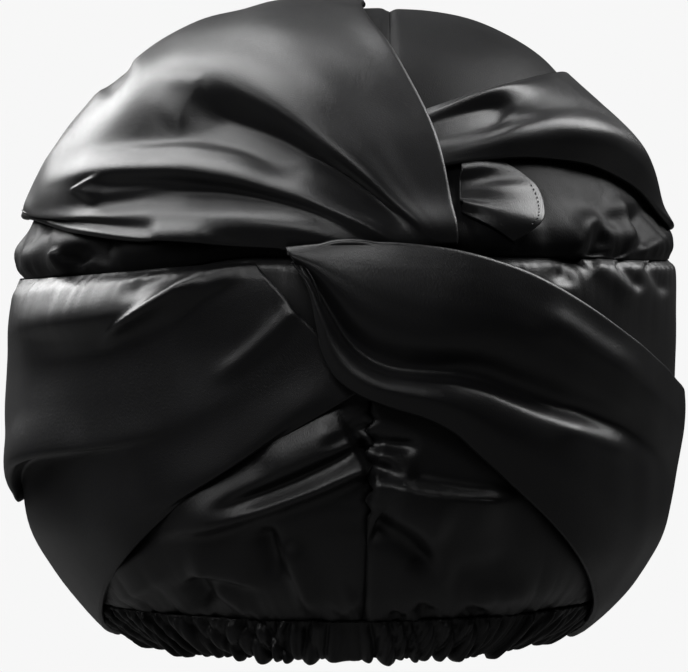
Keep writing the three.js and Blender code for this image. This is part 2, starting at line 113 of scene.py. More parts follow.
# Height of the level seam between the crown and the lower panels, by turn.
SEAM = [(-180, 144), (-90, 140.5), (-40, 146.5), (-14, 154.5), (20, 154.5), (90, 149), (180, 144)]
SEAM_ABOUT = 148.0  # a first guess at it

# The wraps. The folds of each leave the knot along its mouth, a line on the front from the first fold's start
# to the last one's, as (x, z); where crowd is above 1 they stand closer at its first end. A fold runs to the
# outline, which it passes at a clock angle, 0 to the right and 90 up. Bow swings its middle anticlockwise, in
# mm, wave swings its first half anticlockwise and its second half back, and hook swings it close to the knot
# only. The lifts above the body stand at even steps to the outline.
Mouth = namedtuple("Mouth", "first last crowd")
Fold = namedtuple("Fold", "clock bow wave hook lifts")
UPPER_LEFT_MOUTH = Mouth((39, 157), (-2, 155.5), 1.6)
UPPER_LEFT_FOLDS = [
    Fold(87, 12, -4, 0, (5, 7.6, 7.4, 5.6, 3.6)),  # free edge
    Fold(96, 9, -2, 0, (5, 7.5, 7.6, 6.8, 4.4)),
    Fold(106, 7, 0, 0, (5, 8.4, 9.8, 9.5, 5)),
    Fold(117, 7, 0, 0, (5, 10.5, 14, 12, 5)),
    Fold(128, 8, 0, 0, (5, 9, 12.5, 15.5, 17, 15.5, 13, 9, 5)),  # brow of the upper step
    Fold(137, 6, -4, -1, (4.6, 4.2, 4, 4.6, 8, 14.5, 13.5, 9, 5)),
    Fold(147, 3, -9, -3, (4, 3.2, 2.6, 2.4, 5, 12.5, 12, 8.5, 5)),  # foot of the upper step
    Fold(150, 5, -8, -1, (4.4, 5, 5.6, 6.4, 9.5, 12.5, 11.5, 8.5, 5)),
    Fold(153, 8, -6, 0, (5, 7.4, 9, 11, 12.5, 13, 11, 8, 5)),  # brow of the middle step
    Fold(155.2, 8, -6, 0, (4.5, 5, 5, 5.4, 7, 11, 10, 7.5, 5)),
    Fold(157.5, 8, -7, 0, (4, 3.8, 3.4, 2.8, 4.4, 9, 8.5, 7, 5)),  # foot of the middle step
    Fold(158.8, 12, -4, 0, (4, 5, 5.8, 6.2, 7, 8, 7.5, 6, 5)),
    Fold(159.4, 13, 0, 0, (4, 4.4, 5, 6, 5)),
    Fold(159.9, 14, 1, 0, (4, 4.4, 5.4, 5.5, 5)),  # lower edge
]
UPPER_RIGHT_MOUTH = Mouth((27, 205), (32, 186), 1)
UPPER_RIGHT_FOLDS = [
    Fold(49, -7, 0, 0, (3, 4, 5, 4.4, 3.2)),  # top edge
    Fold(46, -5, 0, 0, (4, 7.6, 7, 6, 4)),
    Fold(40, -4, 0, 0, (2.6, 2.4, 2.8, 7.4, 9, 9, 8.4, 7, 5)),  # hollow beside the knot
    Fold(33, -1, 0, 0, (2.6, 2.6, 3.2, 9, 11, 11, 10.4, 8.4, 5.6)),
    Fold(25, 2, 0, 0, (4.5, 5.5, 8, 12, 14, 14, 12.5, 9, 5)),
    Fold(21, 3, 0, 0, (4.5, 8, 12, 10, 4)),
    Fold(18, 3, 0, 0, (4, 4, 4, 4, 2.6)),  # rolled edge
]
LOWER_LEFT_MOUTH = Mouth((-33, 152), (8, 107), 1.7)
LOWER_LEFT_FOLDS = [
    Fold(171, 7, 0, 0, (-1, -1, -1, -1, -1)),  # sewn into the seam
    Fold(174, 8, 1, 0, (1.5, 4, 4.4, 4, 3.4)),
    Fold(180, 9, 3, 0, (1.6, 7.6, 9.4, 8, 5)),
    Fold(186, 7, 5, 0, (1.6, 2.2, 5.4, 7, 5)),
    Fold(192, 5, 6, 0, (1.6, 1.2, 2, 6, 5.4)),
    Fold(199, 3, 7, 0, (1.6, 1.6, 2.2, 8, 6)),
    Fold(208, 0, 8, 0, (2, 2.6, 5, 12.4, 5.6)),  # pleat edge
    Fold(206.5, 1, 8, 0, (2, 2.6, 2.6, 0.6, 0.6)),  # tucked behind it
    Fold(215, 2, 5, 0, (2, 6, 4.4, 0.6, 0.6)),
    Fold(233, -25, 0, 0, (2.4, 3, 3.6, 3.6, 3)),  # hem
]
LOWER_RIGHT_MOUTH = Mouth((-20, 156), (-17, 150), 1)
LOWER_RIGHT_FOLDS = [
    Fold(-11, 4, 6, 0, (8, 10.5, 10.5, 7.6, 3.4)),  # rim
    Fold(-14, 4, 5, 0, (8.6, 11, 11, 8.2, 4.4)),
    Fold(-18, 5, 3, -1, (9, 11.6, 11.8, 8.8, 5)),
    Fold(-22, 7, -1, -5, (9, 11.8, 11.6, 8.6, 5)),
    Fold(-27, 9, -5, -9, (8.4, 10, 9, 7.6, 4.6)),
    Fold(-32, 10, -9, -12, (4, 2.4, 2.4, 6, 4.6)),  # valley
    Fold(-37, 11, -9, -13, (8, 9, 9, 7, 5)),
    Fold(-45, 13, -7, -14, (9, 11, 10.5, 7, 4.8)),
    Fold(-53, 15, -5, -15, (7, 8, 6, 5, 4)),  # hem
]
# The crown cloth that the knot draws in, beside the free edge of the upper left wrap. Its lines stay on the
# front, and run from one place to another, as (distance from TUCK_START to the right, height above the seam).
Tuck = namedtuple("Tuck", "start end lifts")
TUCK_START = UPPER_LEFT_MOUTH.first[0] + 3.6
TUCK_FOLDS = [
    Tuck((0, 34), (12, 36), (2, 2, 0.6)),
    Tuck((0, 30), (18, 33), (3.4, 2.6, 0.8)),  # lip
    Tuck((0, 26.5), (24, 29), (0.8, 0.4, 1.4)),  # hollow under it
    Tuck((0, 23), (28, 24), (0.4, 3.4, 3)),  # top of the lobe
    Tuck((0, 20.5), (29.5, 17), (0.4, 4, 4)),
    Tuck((0, 18), (27, 9.5), (4.4, 4.4, 4.4)),  # tongue, then the foot of the lobe
    Tuck((0, 15.5), (19, 4), (0.6, 2, 1.6)),
]

# Smaller creases and ridges, placed in the terms of the piece that they are pressed into. On a wrap they are
# (share of its length from the knot, number of folds from the first). On a lower panel they are (turn, share
# of the way from the casing to the seam), and on the crown (turn, height above the seam). Each is an arc from
# start to end, bowed to its left, with the height of its middle, its width on the left and on the right, and
# whether it starts at a seam.
Crease = namedtuple("Crease", "start end bow height left right sewn")
UPPER_LEFT_CREASES = [
    Crease((0.5, 4.2), (0.46, 6.1), 2, 2.4, 3.5, 12, False),  # end of the upper pocket
    Crease((0.46, 5.0), (0.2, 6.2), 1, -3.6, 7, 9, False),  # bottom of the upper pocket
    Crease((0.54, 8.3), (0.52, 10.2), 2, 2, 3.5, 11, False),  # end of the middle pocket
    Crease((0.76, 4.2), (0.7, 5.2), 0, -2.0, 3, 3, False),  # nick near the outline
    Crease((0.56, 9.8), (0.3, 9.9), 1, 1.6, 3, 3, False),
    Crease((0.36, 12.2), (0.2, 12.2), 0, 2.4, 4, 4, False),
]
UPPER_RIGHT_CREASES = [
    Crease((0.0, 2.4), (0.28, 2.6), 0, -2.5, 6, 6, True),
]
LOWER_LEFT_CREASES = [
    Crease((0.1, 1.0), (0.4, 3.3), -2, 3.2, 3, 2, False),  # crisp fold under the seam
    Crease((0.16, 0.8), (0.3, 1.6), -1, -2.0, 3, 3, False),
    Crease((0.0, 3.6), (0.2, 3.0), -2, -4.0, 6, 6, True),  # hollow beside the knot
    Crease((0.0, 5.0), (0.2, 5.4), 2, 2.2, 4, 4, True),
]
LOWER_RIGHT_CREASES = [
    Crease((0.34, 1.6), (0.58, 2.1), 1, 1.6, 5, 6, False),
    Crease((0.42, 5.9), (0.62, 5.7), 2, 1.4, 6, 6, False),
]
CROWN_CREASES = [
    Crease((-54, 9), (-51, 3), 0, -3.6, 4.5, 4.5, False),
    Crease((-58, 8), (-55, 1), -1, 2.6, 3, 3, True),
    Crease((-74, 16), (-49, 8), 3, 2.0, 5, 5, False),
    Crease((-46, 15), (-46.5, 1), 0, -2.6, 3.5, 3.5, False),
    Crease((-76, 21), (-63, 19), 0, -2.0, 5, 5, False),
    Crease((36, 27), (33, 8), -2, -2.4, 5, 5, False),
    Crease((43, 1), (54, 15), 4, 2.8, 4, 5, True),
    Crease((48, 1), (53, 9), 1, -3.0, 4, 4, True),
    Crease((57, 1), (57, 19), 0, -2.4, 4, 4, True),
    Crease((61, 2), (61, 26), 0, 3.2, 3, 3, False),
    Crease((66, 3), (67, 21), 0, -3.2, 5, 6, False),
]
PANEL_LEFT_CREASES = [
    Crease((4, 0.45), (-37, 0.25), 3, 8.5, 3.2, 15, True),  # long ridge from the ruched seam
    Crease((4, 0.5), (-24, 0.31), 1, -6.4, 6, 3, True),  # dark fold above it
    Crease((0, 0.55), (-16, 0.44), 0, 3.0, 8, 8, False),
    Crease((4, 0.555), (-5, 0.49), 1, -2.0, 2.6, 2.6, True),
    Crease((-14.5, 0.285), (-12.5, 0.1), 1, -5.6, 3.5, 6, False),  # drop to the casing
    Crease((-11, 0.24), (-6, 0.0), 1, 3.6, 5, 3, False),
    Crease((-31, 0.15), (-14, 0.1), 2, 3.2, 7, 2.4, False),  # pointed arc
    Crease((-30, 0.13), (-29, 0.02), 0, -5.6, 5, 4, False),
    Crease((-27, 0.1), (-19, 0.0), 2, 2.6, 3.5, 3, False),
    Crease((-45, 0.19), (-42, 0.05), 0, 3.6, 13, 13, False),
    Crease((3, 0.09), (-2, 0.02), 0, 2.4, 4, 5, False),
]
PANEL_RIGHT_CREASES = [
    Crease((4, 0.405), (33, 0.335), -1.5, 8.0, 3.2, 15, True),  # long ridge from the ruched seam
    Crease((4, 0.5), (13, 0.49), 0, -3.0, 2.4, 2.4, True),
    Crease((5, 0.475), (12.5, 0.4), 0, 2.8, 4, 4, True),
    Crease((4, 0.455), (8, 0.42), 0, -2.2, 2.2, 2.2, True),
    Crease((6, 0.31), (19, 0.26), 0, 4.0, 9, 9, False),
    Crease((5, 0.29), (17, 0.1), 5, -6.4, 4, 7, True),  # drop to the casing
    Crease((19, 0.13), (34, 0.17), 0, -1.8, 5, 5, False),
    Crease((18, 0.1), (40, 0.12), -1, -1.4, 5, 5, False),
    Crease((22, 0.07), (42, 0.085), 0, 3.0, 6, 6, False),
    Crease((17, 0.05), (16, 0.0), 0, -3.6, 3, 3, False),
    Crease((29, 0.04), (27.5, 0.0), 0, -3.6, 3, 3, False),
    Crease((11.5, 0.03), (11, 0.0), 0, -3.0, 2.5, 2.5, False),
    Crease((45, 1.0), (38, 0.91), -2, -2.8, 4, 5, True),
    Crease((47, 0.98), (59, 0.87), 1, 1.8, 4, 4, True),
    Crease((54, 0.99), (61, 0.9), 0, -2.2, 2.6, 2.6, True),
    Crease((65, 0.99), (74, 0.89), 0, -2.2, 2.8, 2.8, True),
]


# ------------------------------------------------------------------ curves
def curve_through(rows, at):
    """A smooth curve through rows of numbers; at runs from 0 to 1."""
    rows = np.asarray(rows, float)
    last = len(rows) - 1
    place = np.clip(at, 0, 1) * last
    i = np.minimum(place.astype(int), last - 1)
    t = (place - i).reshape((-1,) + (1,) * (rows.ndim - 1))
    carried = np.concatenate([2 * rows[:1] - rows[1:2], rows, 2 * rows[-1:] - rows[-2:-1]])
    a, b, c, d = (carried[i + k] for k in range(4))
    slope, following, rise = (c - a) / 2, (d - b) / 2, c - b
    return b + t * (slope + t * (3 * rise - 2 * slope - following + t * (slope + following - 2 * rise)))


def lengths_along(line):
    """How far along a line each of its points lies."""
    return np.concatenate([[0], np.cumsum(np.linalg.norm(np.diff(line, axis=0), axis=1))])


def evenly_along(rows, count):
    """The same curve with its points evenly spaced along its length."""
    fine = curve_through(rows, np.linspace(0, 1, 12 * (len(rows) - 1) + 1))
    along = lengths_along(fine)
    goals = np.linspace(0, along[-1], count)
    return np.stack([np.interp(goals, along, fine[:, k]) for k in range(fine.shape[1])], axis=1)


def ease(start, stop, value):
    """Rises smoothly from 0 where the value is start to 1 where it is stop."""
    share = np.clip((value - start) / (stop - start), 0, 1)
    return share * share * (3 - 2 * share)


def bell(value, width):
    """1 where the value is 0, and fading to nothing on both sides."""
    return np.exp(-((value / width) ** 2))


# ------------------------------------------------------------------ the body under the cloth
LEVELS = curve_through(BODY, np.linspace(0, 1, 3001))
TOP = BODY[-1].height


def section(z):
    """The half width, half depth, shift right and shift back of the body at a height."""
    return [np.interp(z, LEVELS[:, 0], LEVELS[:, k]) for k in (1, 2, 3, 4)]


def body_point(turn, z):
    """The point of the body at a turn and a height."""
    wide, deep, right, back = section(z)
    angle = np.radians(turn)
    return np.stack([right + wide * np.sin(angle), back - deep * np.cos(angle), z + 0 * turn], axis=-1)


def reach_of(points):
    """How far out of the body's middle points are; 1 is on its surface."""
    wide, deep, right, back = section(points[..., 2])
    across = (points[..., 0] - right) / np.maximum(wide, 0.1)
    return np.hypot(across, (points[..., 1] - back) / np.maximum(deep, 0.1))


def outward(points):
    """The direction straight out of the body at each point."""
    slopes = []
    for axis in range(3):
        step = np.zeros(3)
        step[axis] = 0.5
        slopes.append(reach_of(points + step) - reach_of(points - step))
    slopes = np.stack(slopes, axis=-1)
    return slopes / np.linalg.norm(slopes, axis=-1, keepdims=True)


def body_along(rays, centre=RAY_CENTRE):
    """The point of the body in each direction from a centre, found by halving."""
    rays = rays / np.linalg.norm(rays, axis=-1, keepdims=True)
    near = np.zeros(rays.shape[:-1])
    far = near + BEYOND
    for _ in range(34):
        middle = (near + far) / 2
        points = centre + rays * middle[..., None]
        z = points[..., 2]
        inside = (z < TOP) & (z > 0) & (reach_of(points) < 1)
        near = np.where(inside, middle, near)
        far = np.where(inside, far, middle)
    return centre + rays * near[..., None]


def front_point(x, z):
    """The point of the body's front at x and z."""
    wide, deep, right, back = section(z)
    across = (x - right) / wide
    return np.array([x, back - deep * math.sqrt(max(1 - across * across, 0)), z])


def seam_height(turn):
    turns, heights = zip(*SEAM)
    row = np.clip(np.searchsorted(turns, turn), 1, len(turns) - 1)
    turns, heights = np.array(turns, float), np.array(heights, float)
    start, stop = turns[row - 1], turns[row]
    return heights[row - 1] + (heights[row] - heights[row - 1]) * ease(start, stop, turn)


def turn_of(points):
    """The turn of each point, measured round the Z axis."""
    return np.degrees(np.arctan2(points[..., 0], -points[..., 1]))


def seam_relief(points):
    """The crown puffs over the seam, and both sides sink into it."""
    above = points[..., 2] - seam_height(turn_of(points))
    return CROWN_PUFF * bell(above - 9, 7) - SEAM_SINK * bell(above, 2.5)


# ------------------------------------------------------------------ folds, gathers and ripples in the cloth
def on_panel(turn, up):
    """The x and z of a place on a lower panel."""
    seam = seam_height(np.array([turn]))[0]
    point = body_point(np.array(turn), CASING_HEIGHT + (seam - CASING_HEIGHT) * up)
    return point[[0, 2]]


def on_crown(turn, above):
    """The x and z of a place on the crown."""
    point = body_point(np.array(turn), seam_height(np.array([turn]))[0] + above)
    return point[[0, 2]]


def on_grid(grid, across):
    """Gives a function from (share of a wrap's length, number of folds) to the x and z of that place."""

    def place(share, fold):
        row = min(max(round(fold * across), 0), grid.shape[0] - 1)
        column = min(max(round(share * (grid.shape[1] - 1)), 0), grid.shape[1] - 1)
        return grid[row, column][[0, 2]]

    return place


def pressed(points, creases, place):
    """How far each point is lifted by the creases and ridges; place turns a crease's ends into x and z."""
    x, z = points[..., 0].ravel(), points[..., 2].ravel()
    facing = ease(50, 20, points[..., 1].ravel())  # they are in the front of the cap only
    total = np.zeros_like(x)
    share = np.linspace(0, 1, 25)[:, None]
    for crease in creases:
        start, end = place(*crease.start), place(*crease.end)
        run = end - start
        aside = np.array([-run[1], run[0]]) / np.hypot(*run)
        path = start + run * share + aside * crease.bow * 4 * share * (1 - share)
        room = 3 * max(crease.left, crease.right)
        low, high = path.min(0) - room, path.max(0) + room
        near = np.where((x > low[0]) & (x < high[0]) & (z > low[1]) & (z < high[1]) & (facing > 0))[0]
        if not len(near):
            continue
        steps = np.diff(path, axis=0)
        length = np.hypot(*steps.T)
        off = np.stack([x[near, None] - path[:-1, 0], z[near, None] - path[:-1, 1]], axis=-1)
        along = np.clip((off * steps).sum(-1) / length**2, 0, 1)
        off = off - along[..., None] * steps
        distance = np.linalg.norm(off, axis=-1)
        best = distance.argmin(1)
        pick = np.arange(len(near))
        turned = (steps[best, 0] * off[pick, best, 1] - steps[best, 1] * off[pick, best, 0]) / length[best]
        width = crease.right + (crease.left - crease.right) * ease(-1, 1, turned)
        share_along = (best + along[pick, best]) / len(steps)
        fade = ease(0, 0.04 if crease.sewn else 0.25, share_along) * ease(1, 0.65, share_along)
        total[near] += crease.height * bell(distance[pick, best], width) * fade
    return (total * facing).reshape(points.shape[:-1])


def puffs(along, seed, spacing, whole=0.0):
    """Uneven round puffs with crisp valleys between them, from 0 in a valley to about 1 on a puff."""
    rng = np.random.default_rng(seed)
    low = -whole / 2 if whole else along.min() - 40
    high = whole / 2 if whole else along.max() + 40
    edges = np.cumsum(rng.uniform(0.6, 1.5, int((high - low) / spacing) + 1))
    edges = low + (high - low) * np.concatenate([[0], edges]) / edges[-1]
    tall = rng.uniform(0.45, 1.0, len(edges) - 1)
    if whole:
        along = (along - low) % whole + low
    k = np.clip(np.searchsorted(edges, along, side="right") - 1, 0, len(tall) - 1)
    inside = np.clip((along - edges[k]) / (edges[k + 1] - edges[k]), 0, 1)
    return tall[k] * np.sin(math.pi * inside) ** 0.7


def gathers(along, away, seed, spacing, height, reach, slant=0.0):
    """Puckers that stand on a gathered seam and fade away from it, the wide ones last."""
    total = np.zeros(along.shape)
    for layer in range(3):
        puckers = puffs(along + slant * away, seed + layer, spacing * (1 + 0.8 * layer)) - 0.45
        fading = np.exp(-np.maximum(away, 0) / (reach * (0.5 + 0.7 * layer)))
        total += height * (0.8 - 0.15 * layer) * puckers * fading
    return total


def ripples(points, seed, height, longest, shortest):
    """Soft unevenness of cloth that isn't pulled tight."""
    rng = np.random.default_rng(seed)
    total = np.zeros(points.shape[:-1])
    for _ in range(14):
        ray = rng.normal(size=3)
        ray *= 2 * math.pi / rng.uniform(shortest, longest) / np.linalg.norm(ray)
        total += np.sin(points @ ray + rng.uniform(0, 2 * math.pi))
    usual_sum = 3.7  # about the root of 14, the number of waves
    return height * total / usual_sum


def grid_normals(grid, centre=(0, 0, 110)):
    """Outward directions of a grid of points."""
    down = np.gradient(grid, axis=0)
    across = np.gradient(grid, axis=1)
    face = np.cross(down, across)
    size = np.linalg.norm(face, axis=-1, keepdims=True)
    face = face / np.maximum(size, 1e-9)
    if ((grid - np.array(centre)) * face).sum(-1).mean() < 0:
        face = -face
    return face


# ------------------------------------------------------------------ meshes from grids
def cloth_from_grid(name, grid, material, closed_ring=False, thickness=CLOTH):
    """A sheet of cloth from a grid of points in millimetres, given its thickness inwards."""
    rows, columns = grid.shape[:2]
    points = grid.reshape(-1, 3) * MM
    i, j = np.meshgrid(np.arange(rows - 1), np.arange(columns if closed_ring else columns - 1), indexing="ij")
    following = (j + 1) % columns
    corners = [
        i * columns + j,
        i * columns + following,
        (i + 1) * columns + following,
        (i + 1) * columns + j,
    ]
    quads = np.stack(corners, axis=-1).reshape(-1, 4)
    middle = rows // 2, columns // 2
    down = grid[min(middle[0] + 1, rows - 1), middle[1]] - grid[middle[0], middle[1]]
    across = grid[middle[0], min(middle[1] + 1, columns - 1)] - grid[middle[0], middle[1]]
    if np.dot(np.cross(across, down), grid[middle] - RAY_CENTRE) < 0:
        quads = quads[:, ::-1]
    mesh = bpy.data.meshes.new(name)
    mesh.vertices.add(len(points))
    mesh.vertices.foreach_set("co", points.astype(np.float32).ravel())
    mesh.loops.add(quads.size)
    mesh.loops.foreach_set("vertex_index", quads.astype(np.int32).ravel())
    mesh.polygons.add(len(quads))
    mesh.polygons.foreach_set("loop_start", np.arange(0, quads.size, 4, dtype=np.int32))
    mesh.polygons.foreach_set("loop_total", np.full(len(quads), 4, dtype=np.int32))
    mesh.update(calc_edges=True)
    mesh.shade_smooth()
    run, width = lengths_along(grid[:, columns // 2]), lengths_along(grid[rows // 2])
    uv = np.stack(np.meshgrid(run, width, indexing="ij"), axis=-1)[..., ::-1].reshape(-1, 2) / MM_IN_CM
    layer = mesh.uv_layers.new(name="cloth_grain")
    layer.data.foreach_set("uv", uv[quads.ravel()].astype(np.float32).ravel())
    mesh.materials.append(material)
    piece = bpy.data.objects.new(name, mesh)
    bpy.context.scene.collection.objects.link(piece)
    weld = piece.modifiers.new("seam_weld", "WELD")
    weld.merge_threshold = SAME_PLACE
    wall = piece.modifiers.new("cloth_thickness", "SOLIDIFY")
    wall.thickness = thickness * MM
    wall.offset = -1
    wall.use_even_offset = False
    return piece


def turned_in(grid, normals, sides, downwards=0.0):
    """Turns a seam allowance in along the chosen sides; downwards also tucks the first row's down."""
    for side in sides:
        flip = side in ("last_row", "last_column")
        if side.endswith("column"):
            grid, normals = grid.transpose(1, 0, 2), normals.transpose(1, 0, 2)
        if flip:
            grid, normals = grid[::-1], normals[::-1]
        sink = downwards if side == "first_row" else 0
        inward = [grid[0] - depth * normals[0] - (0, 0, sink * depth) for depth in ALLOWANCE_DEPTHS]
        grid = np.concatenate([np.stack(inward), grid])
        normals = np.concatenate([normals[:1].repeat(len(ALLOWANCE_DEPTHS), axis=0), normals])
        if flip:
            grid, normals = grid[::-1], normals[::-1]
        if side.endswith("column"):
            grid, normals = grid.transpose(1, 0, 2), normals.transpose(1, 0, 2)
    return grid


def fold_under(grid, normals, radius):
    """Turns the first row of a sheet under itself in a soft roll, and lays a few rows of cloth behind it."""
    edge, normal = grid[0], normals[0]
    out = edge - grid[2]
    out = out - (out * normal).sum(-1, keepdims=True) * normal
    out /= np.linalg.norm(out, axis=-1, keepdims=True)
    radius = radius[:, None]
    roll = []
    for turn in np.radians(np.arange(160, 0, -20)):
        roll.append(edge + radius * (math.sin(turn) * out - (1 - math.cos(turn)) * normal))
    under = [grid[k] - 2 * radius * normals[k] for k in range(EDGE_ROWS, -1, -1)]
    return np.concatenate([np.stack(under), np.stack(roll), grid])


def direction(point):
    """Which way a point lies from the middle of the body."""
    away = np.asarray(point, float) - RAY_CENTRE
    return away / np.linalg.norm(away)


def mouth_point(mouth, share):
    """The x and z of a fold's start, by its share of the way along the mouth."""
    along = share**mouth.crowd
    return [first + (last - first) * along for first, last in zip(mouth.first, mouth.last)]


def fold_line(start, fold, count):
    """Points and lifts along a fold: an arc from the knot to the outline, swung aside, then sewn down."""
    share = np.linspace(0, 1, 25)[:, None]
    start = direction(front_point(*start))
    around = math.radians(fold.clock)
    rim = np.array([math.cos(around), 0, math.sin(around)])
    whole = math.acos(start @ rim)
    aside = np.cross(start, rim) / math.sin(whole)
    rays = (np.sin((1 - share) * whole) * start + np.sin(share * whole) * rim) / math.sin(whole)
    swing = fold.bow * np.sin(math.pi * share) + fold.wave * np.sin(2 * math.pi * share)
    swing += fold.hook * np.sin(math.pi * np.minimum(share / HOOK_REACH, 1)) ** 2
    rays = rays + aside * swing / BODY_RADIUS
    lifts = curve_through(np.array(fold.lifts, float)[:, None], share.ravel())
    lifts = np.append(lifts, [[SEWN_LIFT]], axis=0)
    turned = math.radians(REAR_REACH)
    behind = rim * math.cos(turned) + np.array([0, 1, 0]) * math.sin(turned)
    rays = np.concatenate([rays, behind[None]])
    return evenly_along(np.concatenate([body_along(rays), lifts], axis=1), count)


def tuck_line(fold, count):
    """Points and lifts along a short line that stays on the front."""
    share = np.linspace(0, 1, 9)[:, None]
    places = np.array(fold.start) + (np.array(fold.end) - np.array(fold.start)) * share
    turn = np.degrees(np.arcsin((TUCK_START + places[:, 0]) / BODY_RADIUS))
    heights = seam_height(turn) + places[:, 1]
    points = [front_point(TUCK_START + out, z) for out, z in zip(places[:, 0], heights)]
    lifts = curve_through(np.array(fold.lifts, float)[:, None], share.ravel())
    return evenly_along(np.concatenate([points, lifts], axis=1), count)


def sheet_along_folds(wrap):
    """A wrap's outer face, lofted through its fold lines, with both long edges folded under."""
    folds, seed = wrap.folds, wrap.seed
    if wrap.mouth:
        starts = [mouth_point(wrap.mouth, k / (len(folds) - 1)) for k in range(len(folds))]
        lines = [fold_line(start, fold, wrap.along) for start, fold in zip(starts, folds)]
    else:
        lines = [tuck_line(fold, wrap.along) for fold in folds]
    loft = curve_through(np.stack(lines), np.linspace(0, 1, wrap.across * (len(folds) - 1) + 1))
    foot = body_along(loft[..., :3] - RAY_CENTRE)
    normal = outward(foot)
    relief = np.maximum(seam_relief(foot), 0)
    least = (LEAST_LIFT if wrap.mouth else LEAST_TUCK_LIFT) + relief
    lift = loft[..., 3] + relief
    if wrap.into_seam:
        below = seam_height(turn_of(foot)) - foot[..., 2]
        least -= INTO_SEAM * ease(9, 0, below)
        lift += gathers(turn_of(foot) * SEAM_ARC, below, seed, 5, 1.2, 6) * ease(0, 2, below)
    shown = foot + normal * lift[..., None]
    creased = pressed(shown, wrap.creases, on_grid(shown, wrap.across))
    lift = lift + creased + ripples(shown, seed, 0.35, 60, 22)
    # A lift near the least one eases into it.
    easing, plain = 0.8, 20
    over = (lift - least) / easing
    lift = least + easing * np.where(over > plain, over, np.log1p(np.exp(np.minimum(over, plain))))
    shown = foot + normal * lift[..., None]
    faces = grid_normals(shown)
    room = np.maximum((lift - ROLL_CLEARANCE) / 2, LEAST_ROLL)
    grid = fold_under(shown, faces, np.minimum(wrap.radius[0], room[0]))
    faces = np.concatenate([faces[:1].repeat(len(grid) - len(shown), axis=0), faces])
    grid = fold_under(grid[::-1], faces[::-1], np.minimum(wrap.radius[1], room[-1]))[::-1]
    if wrap.mouth:
        run = grid[:, -1] - grid[:, -3]
        run /= np.linalg.norm(run, axis=-1, keepdims=True)
        down = -outward(grid[:, -1])
        tail = [grid[:, -1] + run * far + down * deep for far, deep in REAR_END]
        grid = np.concatenate([grid, np.stack(tail, axis=1)], axis=1)
    return grid


# ------------------------------------------------------------------ finishes
def new_group(name, inputs, outputs):
    """An empty shader group with named sockets, and its two end nodes."""
    group = bpy.data.node_groups.new(name, "ShaderNodeTree")
    for label, kind, value in inputs:
        socket = group.interface.new_socket(label, in_out="INPUT", socket_type=kind)
        if value is not None:
            socket.default_value = value
    for label, kind in outputs:
        group.interface.new_socket(label, in_out="OUTPUT", socket_type=kind)
    return group, group.nodes.new("NodeGroupInput"), group.nodes.new("NodeGroupOutput")


def node(tree, kind, **settings):
    """Adds a node with its settings to a tree."""
    made = tree.nodes.new(kind)
    for label, value in settings.items():
        setattr(made, label, value)
    return made


def scalar(tree, operation, *values):
    """Adds a Math node on numbers or other nodes' outputs, and gives its result."""
    made = node(tree, "ShaderNodeMath", operation=operation)
    for socket, value in zip(made.inputs, values):
        if isinstance(value, (int, float)):
            socket.default_value = value
        else:
            tree.links.new(value, socket)
    return made.outputs[0]


def satin_weave_group():
    """Fine satin floats lying along the grain, with a diagonal rib."""
    group, start, end = new_group(
        "satin_weave",
        [
            ("Cloth Position", "NodeSocketVector", None),
            ("Floats Per Centimetre", "NodeSocketFloat", 42.0),
            ("Rib Per Centimetre", "NodeSocketFloat", 24.0),
        ],
        [("Thread Height", "NodeSocketFloat"), ("Thread Tone", "NodeSocketFloat")],
    )
    stretched = node(group, "ShaderNodeMapping")
    stretched.inputs["Scale"].default_value = (1.0, 0.22, 1.0)
    group.links.new(start.outputs["Cloth Position"], stretched.inputs["Vector"])
    floats = node(group, "ShaderNodeTexNoise")
    floats.inputs["Detail"].default_value = 1.0
    group.links.new(stretched.outputs[0], floats.inputs["Vector"])
    group.links.new(start.outputs["Floats Per Centimetre"], floats.inputs["Scale"])
    turned = node(group, "ShaderNodeMapping")
    turned.inputs["Rotation"].default_value = (0, 0, math.radians(58))
    turned.inputs["Scale"].default_value = (1.0, 0.3, 1.0)
    group.links.new(start.outputs["Cloth Position"], turned.inputs["Vector"])
    rib = node(group, "ShaderNodeTexNoise")
    rib.inputs["Detail"].default_value = 2.0
    group.links.new(turned.outputs[0], rib.inputs["Vector"])
    group.links.new(start.outputs["Rib Per Centimetre"], rib.inputs["Scale"])
    height = scalar(group, "MULTIPLY_ADD", rib.outputs[0], 0.3, floats.outputs[0])
    group.links.new(height, end.inputs["Thread Height"])
    half_rib = scalar(group, "MULTIPLY", rib.outputs[0], 0.5)
    tone = scalar(group, "MULTIPLY_ADD", floats.outputs[0], 0.5, half_rib)
    group.links.new(tone, end.inputs["Thread Tone"])
    return group


def wear_group():
    """Rubbed patches, here and there."""
    group, start, end = new_group(
        "handled_cloth",
        [("Position", "NodeSocketVector", None), ("Patches Per Metre", "NodeSocketFloat", 22.0)],
        [("Rubbed", "NodeSocketFloat")],
    )
    patches = node(group, "ShaderNodeTexNoise")
    patches.inputs["Detail"].default_value = 3.0
    group.links.new(start.outputs["Position"], patches.inputs["Vector"])
    group.links.new(start.outputs["Patches Per Metre"], patches.inputs["Scale"])
    soft = node(group, "ShaderNodeMapRange", interpolation_type="SMOOTHSTEP")
    soft.inputs["From Min"].default_value = 0.42
    soft.inputs["From Max"].default_value = 0.7
    group.links.new(patches.outputs[0], soft.inputs["Value"])
    group.links.new(soft.outputs[0], end.inputs["Rubbed"])
    return group


